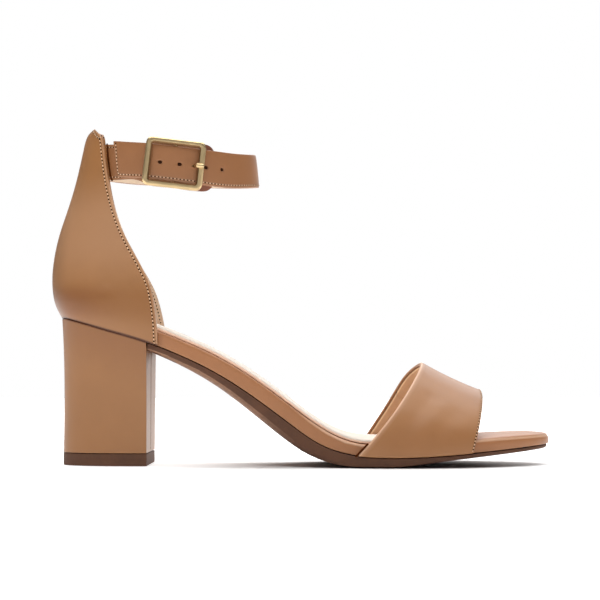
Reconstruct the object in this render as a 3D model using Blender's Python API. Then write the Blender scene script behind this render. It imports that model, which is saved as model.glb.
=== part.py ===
"""Block-heel ankle-strap sandal for the right foot, standing on its sole.

Sizes are in millimetres and become metres when a mesh is made. X runs from heel to toe,
Y from the outer side of the foot to the inner side, and Z up from the floor.
"""
from collections import namedtuple
from math import acos, cos, pi, radians, sin, sqrt

import bmesh
import bpy
import numpy as np
from mathutils import Matrix, Vector

MM = 0.001
GAP = 0.3  # between pieces that touch

# Driving sizes of the last
LAST_LENGTH = 240.0  # footbed, heel end to toe tip
BALL_WIDTH = 79.5
SEAT_HEIGHT = 72.1  # feather line above the floor at the heel end
INSTEP_HEIGHT = 51.0  # top of the toe band
HEEL_END = -115.8  # heel end of the footbed on X

# Leather and sole
COUNTER_WALL = 2.0
VAMP_WALL = 2.2
VAMP_CLEAR = 3.0  # outer face of the toe band out from the footbed edge
STRAP_THICKNESS = 2.0
INSOLE_THICKNESS = 2.2
INSOLE_MARGIN = 1.6  # insole edge inside the footbed edge
INSOLE_EDGE = 0.7  # rounding of its upper edge
INSOLE_INSIDE = 0.2  # least step in from the footbed's rounded edge
CROWN = 0.9  # rise of the footbed towards its middle
CROWN_MARGIN = 12.0
SOLE_STATIONS = 44  # cross sections of the sole, closer together towards both round ends
BREAST_STATION = 12  # the outsole starts at the heel breast
INSOLE_STATION = 32  # the insole ends just inside the toe band
BEVEL_SPREAD = 1.6  # width of the outsole chamfer over its height

# Heel block
BREAST_X = -74.6
TOP_PIECE_HEIGHT = 6.0
HEEL_SQUARENESS = 2.6

# Plan of the last: along is a share of the length, outer and inner are shares of the ball width
Plan = namedtuple("Plan", "along outer inner")
PLAN = [
    Plan(0.000, 0.000, 0.000),
    Plan(0.024, 0.196, 0.196),
    Plan(0.066, 0.272, 0.272),
    Plan(0.116, 0.307, 0.307),
    Plan(0.191, 0.318, 0.314),
    Plan(0.274, 0.337, 0.292),
    Plan(0.357, 0.362, 0.281),
    Plan(0.441, 0.400, 0.307),
    Plan(0.524, 0.453, 0.371),
    Plan(0.607, 0.494, 0.440),
    Plan(0.670, 0.507, 0.478),
    Plan(0.732, 0.497, 0.501),
    Plan(0.795, 0.463, 0.498),
    Plan(0.857, 0.400, 0.465),
    Plan(0.907, 0.321, 0.415),
    Plan(0.949, 0.226, 0.340),
    Plan(0.978, 0.132, 0.258),
    Plan(1.000, -0.063, 0.063),
]

# Side profile of the sole: rise of the feather line is a share of the seat height, the rest are
# millimetres: band and sole are heights above and below the feather line, bevel is the chamfer
# under the outsole, outset moves the outsole edge out from the footbed, edge rounds the footbed
# and flare leans its side out to follow the heel cup
Profile = namedtuple("Profile", "along rise band sole bevel outset edge flare")
PROFILE = [
    Profile(0.000, 1.000, 7.4, 4.0, 1.0, 0.0, 1.2, 3.6),
    Profile(0.074, 0.928, 7.5, 4.0, 1.0, 0.8, 1.2, 2.0),
    Profile(0.170, 0.835, 7.6, 4.4, 1.4, 1.6, 1.2, 1.0),
    Profile(0.207, 0.789, 7.6, 4.6, 1.9, 0.6, 1.2, 0.2),
    Profile(0.241, 0.743, 7.6, 4.9, 2.2, -0.3, 1.2, 0.0),
    Profile(0.320, 0.613, 8.3, 6.3, 2.8, -0.5, 1.3, 0.0),
    Profile(0.401, 0.437, 8.9, 8.5, 3.1, -0.5, 1.3, 0.0),
    Profile(0.462, 0.286, 8.9, 8.8, 2.6, -0.4, 1.3, 0.0),
    Profile(0.520, 0.150, 8.5, 6.9, 1.4, 0.0, 1.3, 0.0),
    Profile(0.562, 0.099, 6.6, 5.8, 0.9, 0.6, 1.3, 0.0),
    Profile(0.599, 0.075, 6.0, 5.7, 0.8, 1.6, 1.4, 0.0),
    Profile(0.641, 0.067, 6.0, 5.2, 0.8, 2.2, 1.4, 0.0),
    Profile(0.678, 0.065, 6.0, 4.9, 0.8, 2.3, 1.5, 0.0),
    Profile(0.720, 0.070, 6.0, 3.75, 0.8, 2.3, 1.7, 0.0),
    Profile(0.757, 0.076, 6.2, 3.1, 0.8, 2.1, 2.0, 0.0),
    Profile(0.841, 0.097, 7.0, 2.5, 0.8, 1.0, 2.6, 0.0),
    Profile(0.924, 0.122, 6.5, 2.4, 0.8, -0.5, 3.0, 0.0),
    Profile(1.000, 0.144, 5.6, 2.2, 0.8, -1.0, 3.0, 0.0),
]

# Heel block from the floor up: level is a share of its height
HeelRow = namedtuple("HeelRow", "level back_x half_width")
HEEL = [
    HeelRow(0.00, -117.7, 23.6),
    HeelRow(0.30, -117.4, 24.1),
    HeelRow(0.60, -117.5, 25.2),
    HeelRow(0.85, -118.1, 26.9),
    HeelRow(0.95, -118.5, 27.8),
    HeelRow(1.00, -118.7, 28.2),
]

# Counter from the heel seat up. A row runs level from its front edge round the back to the other
# front edge; sweep is the angle that it turns through from the back, square its squareness, and
# set_back is how far the inner front edge lies behind the outer one
CounterRow = namedtuple("CounterRow", "back_z back_x front_z front_x half_width sweep square set_back")
COUNTER = [
    CounterRow(72.9, -118.7, 58.5, -69.1, 28.3, 90.0, 2.6, 0.4),
    CounterRow(77.8, -122.0, 63.0, -69.2, 29.0, 90.0, 2.6, 0.5),
    CounterRow(84.0, -123.4, 69.0, -69.5, 29.4, 90.0, 2.6, 0.8),
    CounterRow(91.0, -124.0, 76.5, -70.4, 29.4, 90.0, 2.5, 1.5),
    CounterRow(101.8, -123.2, 88.0, -72.8, 29.0, 90.0, 2.4, 2.8),
    CounterRow(113.8, -120.7, 100.5, -79.0, 28.3, 88.0, 2.3, 4.2),
    CounterRow(125.8, -116.8, 113.5, -86.1, 27.2, 82.0, 2.2, 5.2),
    CounterRow(137.0, -113.4, 127.5, -91.2, 25.7, 74.0, 2.1, 5.9),
    CounterRow(147.8, -110.8, 142.0, -94.4, 24.0, 66.0, 2.0, 4.9),
    CounterRow(157.8, -108.6, 153.8, -96.2, 23.0, 60.0, 2.0, 3.4),
    CounterRow(162.8, -107.3, 158.6, -96.9, 22.4, 58.0, 2.0, 4.1),
    CounterRow(165.8, -105.3, 160.6, -97.6, 22.0, 56.0, 2.0, 4.3),
    CounterRow(167.3, -103.0, 161.6, -98.3, 21.5, 54.0, 2.0, 4.1),
]
COUNTER_LEVELS = 22
COUNTER_COLUMNS = 32
COUNTER_EVENNESS = 0.5  # share of even spacing; the rest draws the levels together at the top

# Toe band: both sides of an edge lean from the feather line at low to the ridge at top, and bow
# forward between them; inner_round is how far the inner side rounds forward just below the ridge
VampEdge = namedtuple("VampEdge", "outer_low inner_low top outer_bow inner_bow inner_round")
VAMP_BACK = VampEdge(26.8, 28.8, 60.5, 7.0, -3.0, -2.1)
VAMP_FRONT = VampEdge(82.7, 82.4, 90.4, 0.0, 0.0, 0.0)
ROUND_POWER = 6  # keeps that rounding close to the ridge
ROUND_PEAK = (ROUND_POWER / (ROUND_POWER + 1)) ** ROUND_POWER / (ROUND_POWER + 1)
RIDGE_SLOPE = 0.475  # fall of the ridge towards the toe
RIDGE_DIP = 0.8  # hollow of the ridge between its ends
RIDGE_Y = 5.0  # the ridge lies to the big-toe side
ARCH_RISE = 2.4  # powers of the arch over the toes
ARCH_WIDTH = 2.05
VAMP_COLUMNS = 34
VAMP_ROWS = 13

# Ankle: inside of the straps is an oval, angle 0 at the front and negative on the outer side
OVAL_X = -64.7
OVAL_LENGTH = 41.3  # half sizes
OVAL_WIDTH = 27.0
BAR_LIFT = 4.2  # inside of the long strap over the buckle's centre bar
StrapRow = namedtuple("StrapRow", "angle z lift lean half_width")
ANKLE_STRAP = [
    StrapRow(-125.0, 149.4, 2.4, 0.0, 8.8),
    StrapRow(-118.0, 148.8, 2.6, 0.0, 8.8),
    StrapRow(-104.0, 147.8, BAR_LIFT, 0.0, 8.7),
    StrapRow(-85.0, 146.1, BAR_LIFT, 0.0, 8.6),
    StrapRow(-70.0, 144.9, BAR_LIFT, 0.0, 8.7),
    StrapRow(-57.0, 144.2, 2.7, 1.0, 8.8),
    StrapRow(-42.0, 144.2, 0.6, 3.0, 8.7),
    StrapRow(-30.0, 144.7, 0.0, 4.0, 8.5),
    StrapRow(0.0, 146.3, 0.0, 6.0, 8.4),
    StrapRow(45.0, 148.5, 0.0, 4.0, 8.6),
    StrapRow(90.0, 150.5, 0.0, 0.0, 8.6),
    StrapRow(126.0, 151.4, 0.0, 0.0, 8.6),
    StrapRow(140.0, 151.7, -0.3, 5.0, 8.5),
    StrapRow(157.0, 152.0, -0.5, 7.0, 8.4),
]
ANKLE_STRAP_SECTIONS = 72
TIP_SLANT = 0.24  # the tip is cut back towards its lower corner
TIP_SPREAD = 12.0  # degrees over which the cut is taken up
BUCKLE_STRAP = [
    StrapRow(-145.0, 149.0, -1.4, 0.0, 8.7),
    StrapRow(-126.0, 148.0, 0.0, 0.0, 8.7),
    StrapRow(-107.0, 147.0, 0.0, 0.0, 8.7),
    StrapRow(-101.0, 146.7, 0.0, 0.0, 10.6),
    StrapRow(-96.0, 146.4, 0.0, 0.0, 10.9),
    StrapRow(-84.0, 145.7, 0.0, 0.0, 11.1),
    StrapRow(-75.0, 145.2, 0.0, 0.0, 11.5),
    StrapRow(-58.0, 144.7, 0.0, 0.0, 11.5),
]
BUCKLE_STRAP_SECTIONS = 30
TAB_CORNER = 5.0
STRAP_CHAMFER = 0.5

# Punched holes along X; the prong sits in the third
HOLES_X = (-67.7, -58.7, -51.0, -45.5, -38.3)
HOLE_RADIUS = 0.9
PRONG_HOLE = 2
PRONG_HOLE_RADIUS = 1.25

# Buckle
BUCKLE_ANGLE = -85.3  # place on the ankle oval
BUCKLE_LENGTH = 29.0
BUCKLE_HEIGHT = 23.8
SIDE_BAR = 3.0
END_BAR = 2.8
FRAME_THICKNESS = 2.2
FRAME_LIFT = 5.6  # inner face of the frame above the ankle oval
FRAME_CORNER = 3.0
OPENING_CORNER = 0.8
FRAME_CHAMFER = 0.7
BAR_BEND = 1.0  # size of the centre bar's bent corners
CENTRE_BAR_RADIUS = 0.75
PRONG_RADIUS = 0.65
PRONG_TIP_RADIUS = 1.3
PRONG_TIP_LENGTH = 1.0  # narrowing end of the tip
PRONG_TIP_END = 0.9  # radius at its very end
BAR_LEVEL = STRAP_THICKNESS + GAP + CENTRE_BAR_RADIUS

Finish = namedtuple("Finish", "colour roughness metallic")
TAN = Finish((0.40, 0.20, 0.10), 0.45, 0.0)
TAN_STRAP = Finish((0.31, 0.15, 0.065), 0.45, 0.0)
CREAM = Finish((0.82, 0.74, 0.64), 0.7, 0.0)
DARK_BROWN = Finish((0.075, 0.042, 0.03), 0.55, 0.0)
BRASS = Finish((0.46, 0.32, 0.15), 0.3, 1.0)


def curve_through(keys, values):
    """Smooth curve through the rows of a table; each row's slope is that of its neighbours."""
    keys = np.array(keys, dtype=float)
    values = np.array(values, dtype=float)
    slopes = np.gradient(values, keys)

    def value(key):
        key = np.clip(key, keys[0], keys[-1])
        low = np.clip(np.searchsorted(keys, key) - 1, 0, len(keys) - 2)
        span = keys[low + 1] - keys[low]
        t = (key - keys[low]) / span
        start = values[low] * (1 + 2 * t) * (1 - t) ** 2 + slopes[low] * span * t * (1 - t) ** 2
        return start + values[low + 1] * t * t * (3 - 2 * t) - slopes[low + 1] * span * t * t * (1 - t)

    return value


def column_curves(table):
    """One curve for each column of a table, over its first column."""
    key, *columns = table[0]._fields
    keys = [getattr(row, key) for row in table]
    return {name: curve_through(keys, [getattr(row, name) for row in table]) for name in columns}


def round_key(along):
    """Turns a share of the length into an angle, so that both ends of the plan come out round."""
    return np.arccos(np.clip(1 - 2 * np.asarray(along, dtype=float), -1, 1))


PLAN_KEYS = round_key([row.along for row in PLAN])
OUTER_SHARE = curve_through(PLAN_KEYS, [row.outer for row in PLAN])
INNER_SHARE = curve_through(PLAN_KEYS, [row.inner for row in PLAN])
SIDE = column_curves(PROFILE)


def along_of(x):
    return np.clip((np.asarray(x) - HEEL_END) / LAST_LENGTH, 0, 1)


def outer_edge(x):
    return -BALL_WIDTH * OUTER_SHARE(round_key(along_of(x)))


def inner_edge(x):
    return BALL_WIDTH * INNER_SHARE(round_key(along_of(x)))


def side(name, x):
    return SIDE[name](along_of(x))


def feather(x):
    """Height of the feather line, where footbed and uppers meet the outsole."""
    return SEAT_HEIGHT * side("rise", x)


def ground(x):
    """Underside of the outsole, flat on the floor under the ball."""
    return np.maximum(0, feather(x) - side("sole", x))


def footbed_top(x):
    return feather(x) + side("band", x)


def make_material(name, finish):
    material = bpy.data.materials.new(name)
    material.use_nodes = True
    shader = material.node_tree.nodes["Principled BSDF"]
    shader.inputs["Base Color"].default_value = (*finish.colour, 1)
    shader.inputs["Roughness"].default_value = finish.roughness
    shader.inputs["Metallic"].default_value = finish.metallic
    return material


def finish_object(obj, finish):
    obj.data.materials.append(make_material(obj.name, finish))
    bpy.context.collection.objects.link(obj)
    return obj


def make_object(name, points, faces, finish):
    """Object from millimetre points, faces turned outwards, smooth but for its sharp edges."""
    mesh = bpy.data.meshes.new(name)
    mesh.from_pydata([tuple(float(c) * MM for c in point) for point in points], [], faces)
    bm = bmesh.new()
    bm.from_mesh(mesh)
    bmesh.ops.recalc_face_normals(bm, faces=bm.faces)
    bm.to_mesh(mesh)
    bm.free()
    mesh.shade_smooth()
    mesh.set_sharp_from_angle(angle=radians(35))
    return finish_object(bpy.data.objects.new(name, mesh), finish)


def plan_loop(first, last):
    """Outline of the last between two stations, and the pairs of points across it."""
    stations = np.arange(first, last + 1)
    x = HEEL_END + LAST_LENGTH * (1 - np.cos(pi * stations / SOLE_STATIONS)) / 2
    outer = [(at, outer_edge(at)) for at in x]
    inner = [(at, inner_edge(at)) for at in x]
    back = inner[::-1]
    closes_at_toe = last == SOLE_STATIONS
    closes_at_heel = first == 0
    if closes_at_toe:
        back = back[1:]
    if closes_at_heel:
        back = back[:-1]
    loop = outer + back
    span = 2 * len(outer) - (2 if closes_at_toe else 1)
    pairs = [(i, (span - i) % len(loop)) for i in range(len(outer))]
    return np.array(loop), pairs


def outset_loop(loop, pairs, distance):
    """Moves each point of a plan loop outwards by its own distance, and a straight cut only sideways."""
    forward = np.roll(loop, -1, axis=0) - np.roll(loop, 1, axis=0)
    forward /= np.linalg.norm(forward, axis=1)[:, None]
    outwards = np.column_stack([forward[:, 1], -forward[:, 0]])
    for outer, inner in (pairs[0], pairs[-1]):
        if outer != inner:
            outwards[outer] = (0, -1)
            outwards[inner] = (0, 1)
    return loop + outwards * np.broadcast_to(distance, len(loop))[:, None]


def layered_solid(name, layers, pairs, finish):
    """Solid from closed loops, bottom to top, capped by strips between opposite points."""
    count = len(layers[0])
    points = np.vstack(layers)
    faces = []
    for k in range(len(layers) - 1):
        low, high = k * count, (k + 1) * count
        for i in range(count):
            j = (i + 1) % count
            faces.append((low + i, low + j, high + j, high + i))
    for base in (0, (len(layers) - 1) * count):
        for (a, b), (c, d) in zip(pairs, pairs[1:]):
            corners = list(dict.fromkeys([base + a, base + c, base + d, base + b]))
            faces.append(tuple(corners))
    return make_object(name, points, faces, finish)


def with_height(loop, height):
    return np.column_stack([loop, height(loop[:, 0])])


def make_outsole():
    """Sole sheet from the heel breast to the toe, chamfered below, flat under the ball."""
    loop, pairs = plan_loop(BREAST_STATION, SOLE_STATIONS)
    x = loop[:, 0]
    outset = side("outset", x)
    bevel = side("bevel", x)
    edge = outset_loop(loop, pairs, outset)
    tread = outset_loop(loop, pairs, outset - BEVEL_SPREAD * bevel)
    layers = [
        with_height(tread, ground),
        with_height(edge, lambda at: ground(at) + side("bevel", at)),
        with_height(edge, lambda at: feather(at) - GAP / 2),
    ]
    return layered_solid("outsole", layers, pairs, DARK_BROWN)


def make_footbed():
    """Leather-wrapped board with a rounded upper edge and a slight crown."""
    loop, pairs = plan_loop(0, SOLE_STATIONS)
    x = loop[:, 0]
    flare = side("flare", x)
    edge = side("edge", x)
    layers = [with_height(loop, lambda at: feather(at) + GAP / 2)]
    for turn in (0, 30, 60, 90):
        inset = edge * (1 - cos(radians(turn)))
        drop = 1 - sin(radians(turn))
        rounded = outset_loop(loop, pairs, flare - inset)
        layers.append(with_height(rounded, lambda at: footbed_top(at) - side("edge", at) * drop))
    crown = outset_loop(loop, pairs, flare - CROWN_MARGIN)
    layers.append(with_height(crown, lambda at: footbed_top(at) + CROWN))
    return layered_solid("footbed", layers, pairs, TAN)


def make_insole():
    """Sock on the footbed, from the heel cup to just inside the toe band."""
    loop, pairs = plan_loop(0, INSOLE_STATION)
    x = loop[:, 0]
    margin = np.maximum(INSOLE_MARGIN, side("edge", x) + INSOLE_INSIDE)
    rim = outset_loop(loop, pairs, side("flare", x) - margin)
    softened = outset_loop(loop, pairs, side("flare", x) - margin - INSOLE_EDGE)
    middle = outset_loop(loop, pairs, side("flare", x) - CROWN_MARGIN)
    crown = np.zeros(len(loop))
    crown[list(pairs[-1])] = CROWN
    over = GAP + INSOLE_THICKNESS
    layers = [
        with_height(middle, lambda at: footbed_top(at) + CROWN + GAP),
        with_height(rim, lambda at: footbed_top(at) + crown + GAP),
        with_height(rim, lambda at: footbed_top(at) + crown + over - INSOLE_EDGE),
        with_height(softened, lambda at: footbed_top(at) + crown + over),
        with_height(middle, lambda at: footbed_top(at) + CROWN + over),
    ]
    return layered_solid("insole", layers, pairs, CREAM)


def heel_loop(row, columns=30):
    """Plan of the block at one level: flat breast, sides running back into a round end."""
    depth = BREAST_X - row["back_x"]
    power = 2 / HEEL_SQUARENESS
    loop = []
    for i in range(columns + 1):
        turn = pi * i / columns
        away = depth * max(0, sin(turn)) ** power
        across = -row["half_width"] * np.sign(cos(turn)) * abs(cos(turn)) ** power
        loop.append((BREAST_X - away, across))
    return np.array(loop[::-1])


def heel_solid(name, levels, height, finish):
    """Block or top piece from loops, its height given by a level and a place on X."""
    curves = column_curves(HEEL)
    layers = []
    for level, row_level in levels:
        row = {field: float(curve(row_level)) for field, curve in curves.items()}
        loop = heel_loop(row)
        layers.append(np.column_stack([loop, [height(level, x) for x in loop[:, 0]]]))
    half = len(layers[0]) // 2
    pairs = [(i, len(layers[0]) - 1 - i) for i in range(half)]
    pairs.append((half, half))
    return layered_solid(name, layers, pairs, finish)


def make_heel():
    """Leather-covered block, its top following the slope of the heel seat."""
    def height(level, x):
        base = TOP_PIECE_HEIGHT + GAP
        return base + level * (float(feather(x)) - GAP / 2 - base)

    levels = [(row.level, row.level) for row in HEEL]
    return heel_solid("heel", levels, height, TAN)


def make_top_piece():
    levels = [(0.0, 0.0), (1.0, 0.0)]
    return heel_solid("heel_top_piece", levels, lambda level, x: level * TOP_PIECE_HEIGHT, DARK_BROWN)


def wall_from_grid(name, grid, thickness, finish):
    """Leather wall inside a grid of outer points, closed round its rim."""
    rows, columns = len(grid), len(grid[0])
    points = [point for row in grid for point in row]
    faces = []
    for r in range(rows - 1):
        for c in range(columns - 1):
            corner = r * columns + c
            faces.append((corner, corner + 1, corner + columns + 1, corner + columns))
    obj = make_object(name, points, faces, finish)
    wall = obj.modifiers.new("wall", "SOLIDIFY")
    wall.thickness = thickness * MM
    wall.offset = -1
    wall.use_even_offset = True
    wall.use_quality_normals = True
    return obj


def make_counter():
    """Closed back, standing on the heel seat and running forward to both front edges."""
    curves = column_curves(COUNTER)
    low, high = COUNTER[0].back_z, COUNTER[-1].back_z
    grid = []
    for level in range(COUNTER_LEVELS + 1):
        even = level / COUNTER_LEVELS
        share = COUNTER_EVENNESS * even + (1 - COUNTER_EVENNESS) * sin(pi / 2 * even)
        back_z = low + (high - low) * share
        row = {field: float(curve(back_z)) for field, curve in curves.items()}
        power = 2 / row["square"]
        depth = row["front_x"] - row["back_x"]
        outer_sweep = radians(row["sweep"])
        end_cos = max(0, cos(outer_sweep)) ** power
        end_sin = sin(outer_sweep) ** power
        inner_forward = 1 - row["set_back"] / depth
        inner_sweep = acos((1 - inner_forward * (1 - end_cos)) ** (1 / power))
        line = []
        for column in range(COUNTER_COLUMNS + 1):
            turn = 2 * column / COUNTER_COLUMNS - 1
            angle = (outer_sweep if turn < 0 else inner_sweep) * abs(turn)
            forward = (1 - max(0, cos(angle)) ** power) / (1 - end_cos)
            x = row["back_x"] + depth * forward
            y = np.sign(turn) * row["half_width"] * sin(angle) ** power / end_sin
            z = back_z + (row["front_z"] - back_z) * forward
            if level == 0:
                z = float(feather(x)) + GAP / 2
            line.append((x, y, z))
        grid.append(line)
    return wall_from_grid("counter", grid, COUNTER_WALL, TAN)


def between(start, end, share):
    return start + (end - start) * share


def ridge_height(share):
    fall = RIDGE_SLOPE * (VAMP_FRONT.top - VAMP_BACK.top) * share
    return INSTEP_HEIGHT - fall - RIDGE_DIP * 4 * share * (1 - share)


def vamp_point(turn, share):
    """Outer point of the toe band: turn goes over the foot from outer to inner side, share from
    the back edge to the front edge."""
    on_outer_side = cos(turn) > 0
    at = VampEdge(*[between(back, front, share) for back, front in zip(VAMP_BACK, VAMP_FRONT)])
    low = at.outer_low if on_outer_side else at.inner_low
    bow = at.outer_bow if on_outer_side else at.inner_bow
    rounding = 0 if on_outer_side else at.inner_round / ROUND_PEAK
    rise = sin(turn) ** (2 / ARCH_RISE)
    reach = abs(cos(turn)) ** (2 / ARCH_WIDTH)
    x = between(low, at.top, rise) + (bow * rise + rounding * rise ** ROUND_POWER) * (1 - rise)
    z = between(float(feather(x)) + GAP / 2, ridge_height(share), rise)
    edge = outer_edge(x) - VAMP_CLEAR if on_outer_side else inner_edge(x) + VAMP_CLEAR
    return x, between(RIDGE_Y, float(edge), reach), z


def make_vamp():
    """Wide band over the toes, lasted down to the feather line on both sides."""
    grid = []
    for row in range(VAMP_ROWS + 1):
        turns = [pi * column / VAMP_COLUMNS for column in range(VAMP_COLUMNS + 1)]
        grid.append([vamp_point(turn, row / VAMP_ROWS) for turn in turns])
    return wall_from_grid("vamp", grid, VAMP_WALL, TAN)


def oval_point(angle):
    """Point of the ankle oval and the direction straight out from it."""
    turn = radians(angle)
    point = Vector((OVAL_X + OVAL_LENGTH * cos(turn), OVAL_WIDTH * sin(turn), 0))
    outwards = Vector((OVAL_WIDTH * cos(turn), OVAL_LENGTH * sin(turn), 0)).normalized()
    return point, outwards


def strap_frame(curves, angle):
    """Middle of the strap's inner face, with its width and outward directions."""
    def middle(at):
        point, outwards = oval_point(at)
        point = point + outwards * float(curves["lift"](at))
        point.z = float(curves["z"](at))
        return point, outwards

    point, outwards = middle(angle)
    tangent = (middle(angle + 0.5)[0] - middle(angle - 0.5)[0]).normalized()
    upright = outwards.cross(tangent).normalized()
    outwards = tangent.cross(upright)
    lean = radians(float(curves["lean"](angle)))
    width = upright * cos(lean) - outwards * sin(lean)
    outwards = outwards * cos(lean) + upright * sin(lean)
    return point, width, outwards, tangent


def strap_section(half_width):
    """Corners across a strap, height and depth, with broken edges."""
    c = STRAP_CHAMFER
    t = STRAP_THICKNESS
    w = half_width
    return [(-w, c), (c - w, 0), (w - c, 0), (w, c), (w, t - c), (w - c, t), (c - w, t), (-w, t - c)]


def make_strap(name, table, sections, shape_end, finish):
    """Ribbon round the ankle; shape_end gives each section's half width and slant."""
    curves = column_curves(table)
    angles = np.linspace(table[0].angle, table[-1].angle, sections + 1)
    points = []
    for angle in angles:
        point, width, outwards, tangent = strap_frame(curves, angle)
        half_width, slant = shape_end(angle, float(curves["half_width"](angle)))
        for height, depth in strap_section(half_width):
            points.append(point + width * height + outwards * depth + tangent * slant * height)
    ring = len(strap_section(1))
    faces = [tuple(range(ring)), tuple(range(sections * ring, (sections + 1) * ring))]
    for k in range(sections):
        for i in range(ring):
            j = (i + 1) % ring
            low, high = k * ring, (k + 1) * ring
            faces.append((low + i, low + j, high + j, high + i))
    return make_object(name, points, faces, finish)


def arc_length(table, start, end):
    """Length along a strap's inner face between two angles."""
    curves = column_curves(table)
    places = [strap_frame(curves, angle)[0] for angle in np.linspace(start, end, 20)]
    return sum((b - a).length for a, b in zip(places, places[1:]))


def hole_frames():
    """Place and directions of each punched hole, on the long strap's inner face."""
    curves = column_curves(ANKLE_STRAP)
    angles = np.linspace(ANKLE_STRAP[0].angle, 0, 500)
    outer_x = []
    for angle in angles:
        point, _, outwards, _ = strap_frame(curves, angle)
        outer_x.append((point + outwards * STRAP_THICKNESS).x)
    return [strap_frame(curves, float(np.interp(hole_x, outer_x, angles))) for hole_x in HOLES_X]


def cut_holes(strap):
    """Punches the row of holes through the long strap."""
    bm = bmesh.new()
    for index, (point, width, outwards, tangent) in enumerate(hole_frames()):
        middle = (point + outwards * STRAP_THICKNESS / 2) * MM
        turn = Matrix((tangent, width, outwards)).transposed().to_4x4()
        radius = PRONG_HOLE_RADIUS if index == PRONG_HOLE else HOLE_RADIUS
        bmesh.ops.create_cone(
            bm, cap_ends=True, segments=12, radius1=radius * MM, radius2=radius * MM,
            depth=2 * STRAP_THICKNESS * MM, matrix=Matrix.Translation(middle) @ turn)
    bmesh.ops.recalc_face_normals(bm, faces=bm.faces)
    mesh = bpy.data.meshes.new("strap_punch")
    bm.to_mesh(mesh)
    bm.free()
    punch = bpy.data.objects.new("strap_punch", mesh)
    bpy.context.collection.objects.link(punch)
    punch.hide_render = True
    punch.display_type = "WIRE"
    cut = strap.modifiers.new("holes", "BOOLEAN")
    cut.operation = "DIFFERENCE"
    cut.object = punch


def make_ankle_strap():
    """Long strap from the inner side round the front, its tip lying over the under strap."""
    first = ANKLE_STRAP[0].angle

    def shape_end(angle, half_width):
        share = max(0, 1 - (angle - first) / TIP_SPREAD)
        return half_width, -TIP_SLANT * share

    strap = make_strap("ankle_strap", ANKLE_STRAP, ANKLE_STRAP_SECTIONS, shape_end, TAN_STRAP)
    cut_holes(strap)
    return strap


def make_buckle_strap():
    """Short under strap from the counter's outer edge, widening to a round backing tab."""
    last = BUCKLE_STRAP[-1].angle

    def shape_end(angle, half_width):
        left = arc_length(BUCKLE_STRAP, angle, last) if angle < last else 0
        if left >= TAB_CORNER:
            return half_width, 0
        return half_width - TAB_CORNER + sqrt(TAB_CORNER ** 2 - (TAB_CORNER - left) ** 2), 0

    return make_strap("buckle_strap", BUCKLE_STRAP, BUCKLE_STRAP_SECTIONS, shape_end, TAN_STRAP)


def buckle_matrix():
    """Places the buckle: its x along the strap, y up across it and z straight out."""
    curves = column_curves(ANKLE_STRAP)
    point, width, outwards, tangent = strap_frame(curves, BUCKLE_ANGLE)
    point = point - outwards * BAR_LIFT
    turn = Matrix((tangent, width, outwards)).transposed().to_4x4()
    return Matrix.Translation(point) @ turn


def rounded_rectangle(length, height, corner, steps=4):
    loop = []
    for quarter in range(4):
        middle_x = (length / 2 - corner) * (1 if quarter in (0, 3) else -1)
        middle_y = (height / 2 - corner) * (1 if quarter in (0, 1) else -1)
        for step in range(steps + 1):
            turn = radians(90 * (quarter + step / steps))
            loop.append((middle_x + corner * cos(turn), middle_y + corner * sin(turn)))
    return loop


def make_buckle_frame():
    """Rectangular frame over the strap, with its centre bar on lugs between the two straps."""
    place = buckle_matrix()
    outer = rounded_rectangle(BUCKLE_LENGTH, BUCKLE_HEIGHT, FRAME_CORNER)
    length = BUCKLE_LENGTH - 2 * SIDE_BAR
    height = BUCKLE_HEIGHT - 2 * END_BAR
    inner = rounded_rectangle(length, height, OPENING_CORNER)
    both = 2 * FRAME_CHAMFER
    outer_top = rounded_rectangle(BUCKLE_LENGTH - both, BUCKLE_HEIGHT - both, FRAME_CORNER - FRAME_CHAMFER)
    inner_top = rounded_rectangle(length + both, height + both, OPENING_CORNER + FRAME_CHAMFER)
    top = FRAME_LIFT + FRAME_THICKNESS
    shoulder = top - FRAME_CHAMFER
    rings = [(outer, FRAME_LIFT), (outer, shoulder), (outer_top, top)]
    rings += [(inner_top, top), (inner, shoulder), (inner, FRAME_LIFT)]
    points = [place @ Vector((x, y, z)) for loop, z in rings for x, y in loop]
    count = len(outer)
    faces = []
    for k in range(len(rings)):
        low, high = k * count, (k + 1) % len(rings) * count
        for i in range(count):
            j = (i + 1) % count
            faces.append((low + i, low + j, high + j, high + i))
    frame = make_object("buckle_frame", points, faces, BRASS)
    bar = frame.modifiers.new("centre_bar", "BOOLEAN")
    bar.operation = "UNION"
    bar.object = make_centre_bar(place)
    return frame


def make_centre_bar(place):
    """Bar between the straps, bent up to the frame's two long sides at its ends."""
    reach = (BUCKLE_HEIGHT - END_BAR) / 2
    seat = FRAME_LIFT + FRAME_THICKNESS / 2
    route = [(0, -reach, seat), (0, -reach, BAR_LEVEL + BAR_BEND), (0, BAR_BEND - reach, BAR_LEVEL)]
    route += [(0, -y, z) for _, y, z in reversed(route)]
    along = place.to_3x3() @ Vector((1, 0, 0))
    route = [place @ Vector(point) for point in route]
    rod = make_rod("buckle_centre_bar", route, [CENTRE_BAR_RADIUS] * len(route), along)
    rod.hide_render = True
    rod.display_type = "WIRE"
    return rod


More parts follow.
